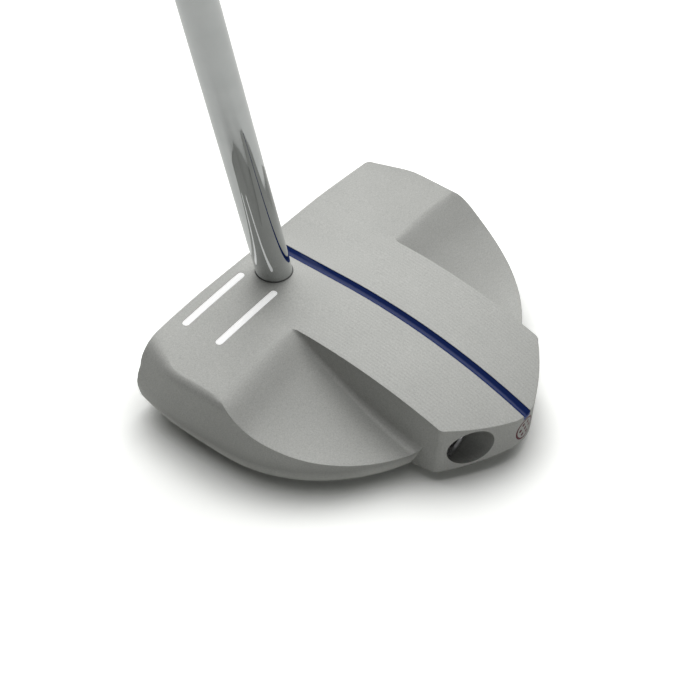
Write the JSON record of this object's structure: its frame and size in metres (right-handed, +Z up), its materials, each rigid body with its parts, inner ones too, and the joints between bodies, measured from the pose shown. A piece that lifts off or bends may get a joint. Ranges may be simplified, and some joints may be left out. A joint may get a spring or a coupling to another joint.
{
  "type": "mallet putter",
  "caption": "Mallet putter: scooped aluminium head with a ball-wide centre ridge, screw-in rear weights, a leaning steel shaft and a flat-fronted rubber grip.",
  "frame": {"origin": "centre of the flat pad on the sole, where the head rests on the ground", "axes": "+Z up, -Y out of the striking face along the putt, +X to the heel, the side the shaft leans to"},
  "size_m": [0.3201, 0.1367, 0.8539],
  "materials": {
    "head": "bead-blasted satin over fine milling lines",
    "blue_enamel": "glossy paint fill",
    "white_enamel": "flush paint fill",
    "red_enamel": "flush paint fill",
    "weight_steel": "turned",
    "shaft_chrome": "mirror chrome",
    "plug": "moulded",
    "epoxy": "cured adhesive",
    "tape": "double-sided masking tape",
    "grip_rubber": "fine moulded texture",
    "cap_rubber": "smooth moulded"
  },
  "bodies": {
    "putter": {"head_body": "head", "centre_line_enamel": "blue_enamel", "front_sight_line_enamel": "white_enamel", "rear_sight_line_enamel": "white_enamel", "rear_mark_enamel": "red_enamel", "shaft_tube": "shaft_chrome", "shaft_tip_plug": "plug", "shaft_epoxy": "epoxy", "grip_tape": "tape", "grip_sleeve": "grip_rubber", "grip_end_cap": "cap_rubber"},
    "heel_weight": {"heel_weight": "weight_steel"},
    "toe_weight": {"toe_weight": "weight_steel"}
  },
  "joints": [
    {"name": "heel_weight_unscrew", "type": "slide", "parent": "putter", "child": "heel_weight", "axis": [0, 1, 0], "range_m": [0, 0.03]},
    {"name": "toe_weight_unscrew", "type": "slide", "parent": "putter", "child": "toe_weight", "axis": [0, 1, 0], "range_m": [0, 0.03]}
  ]
}
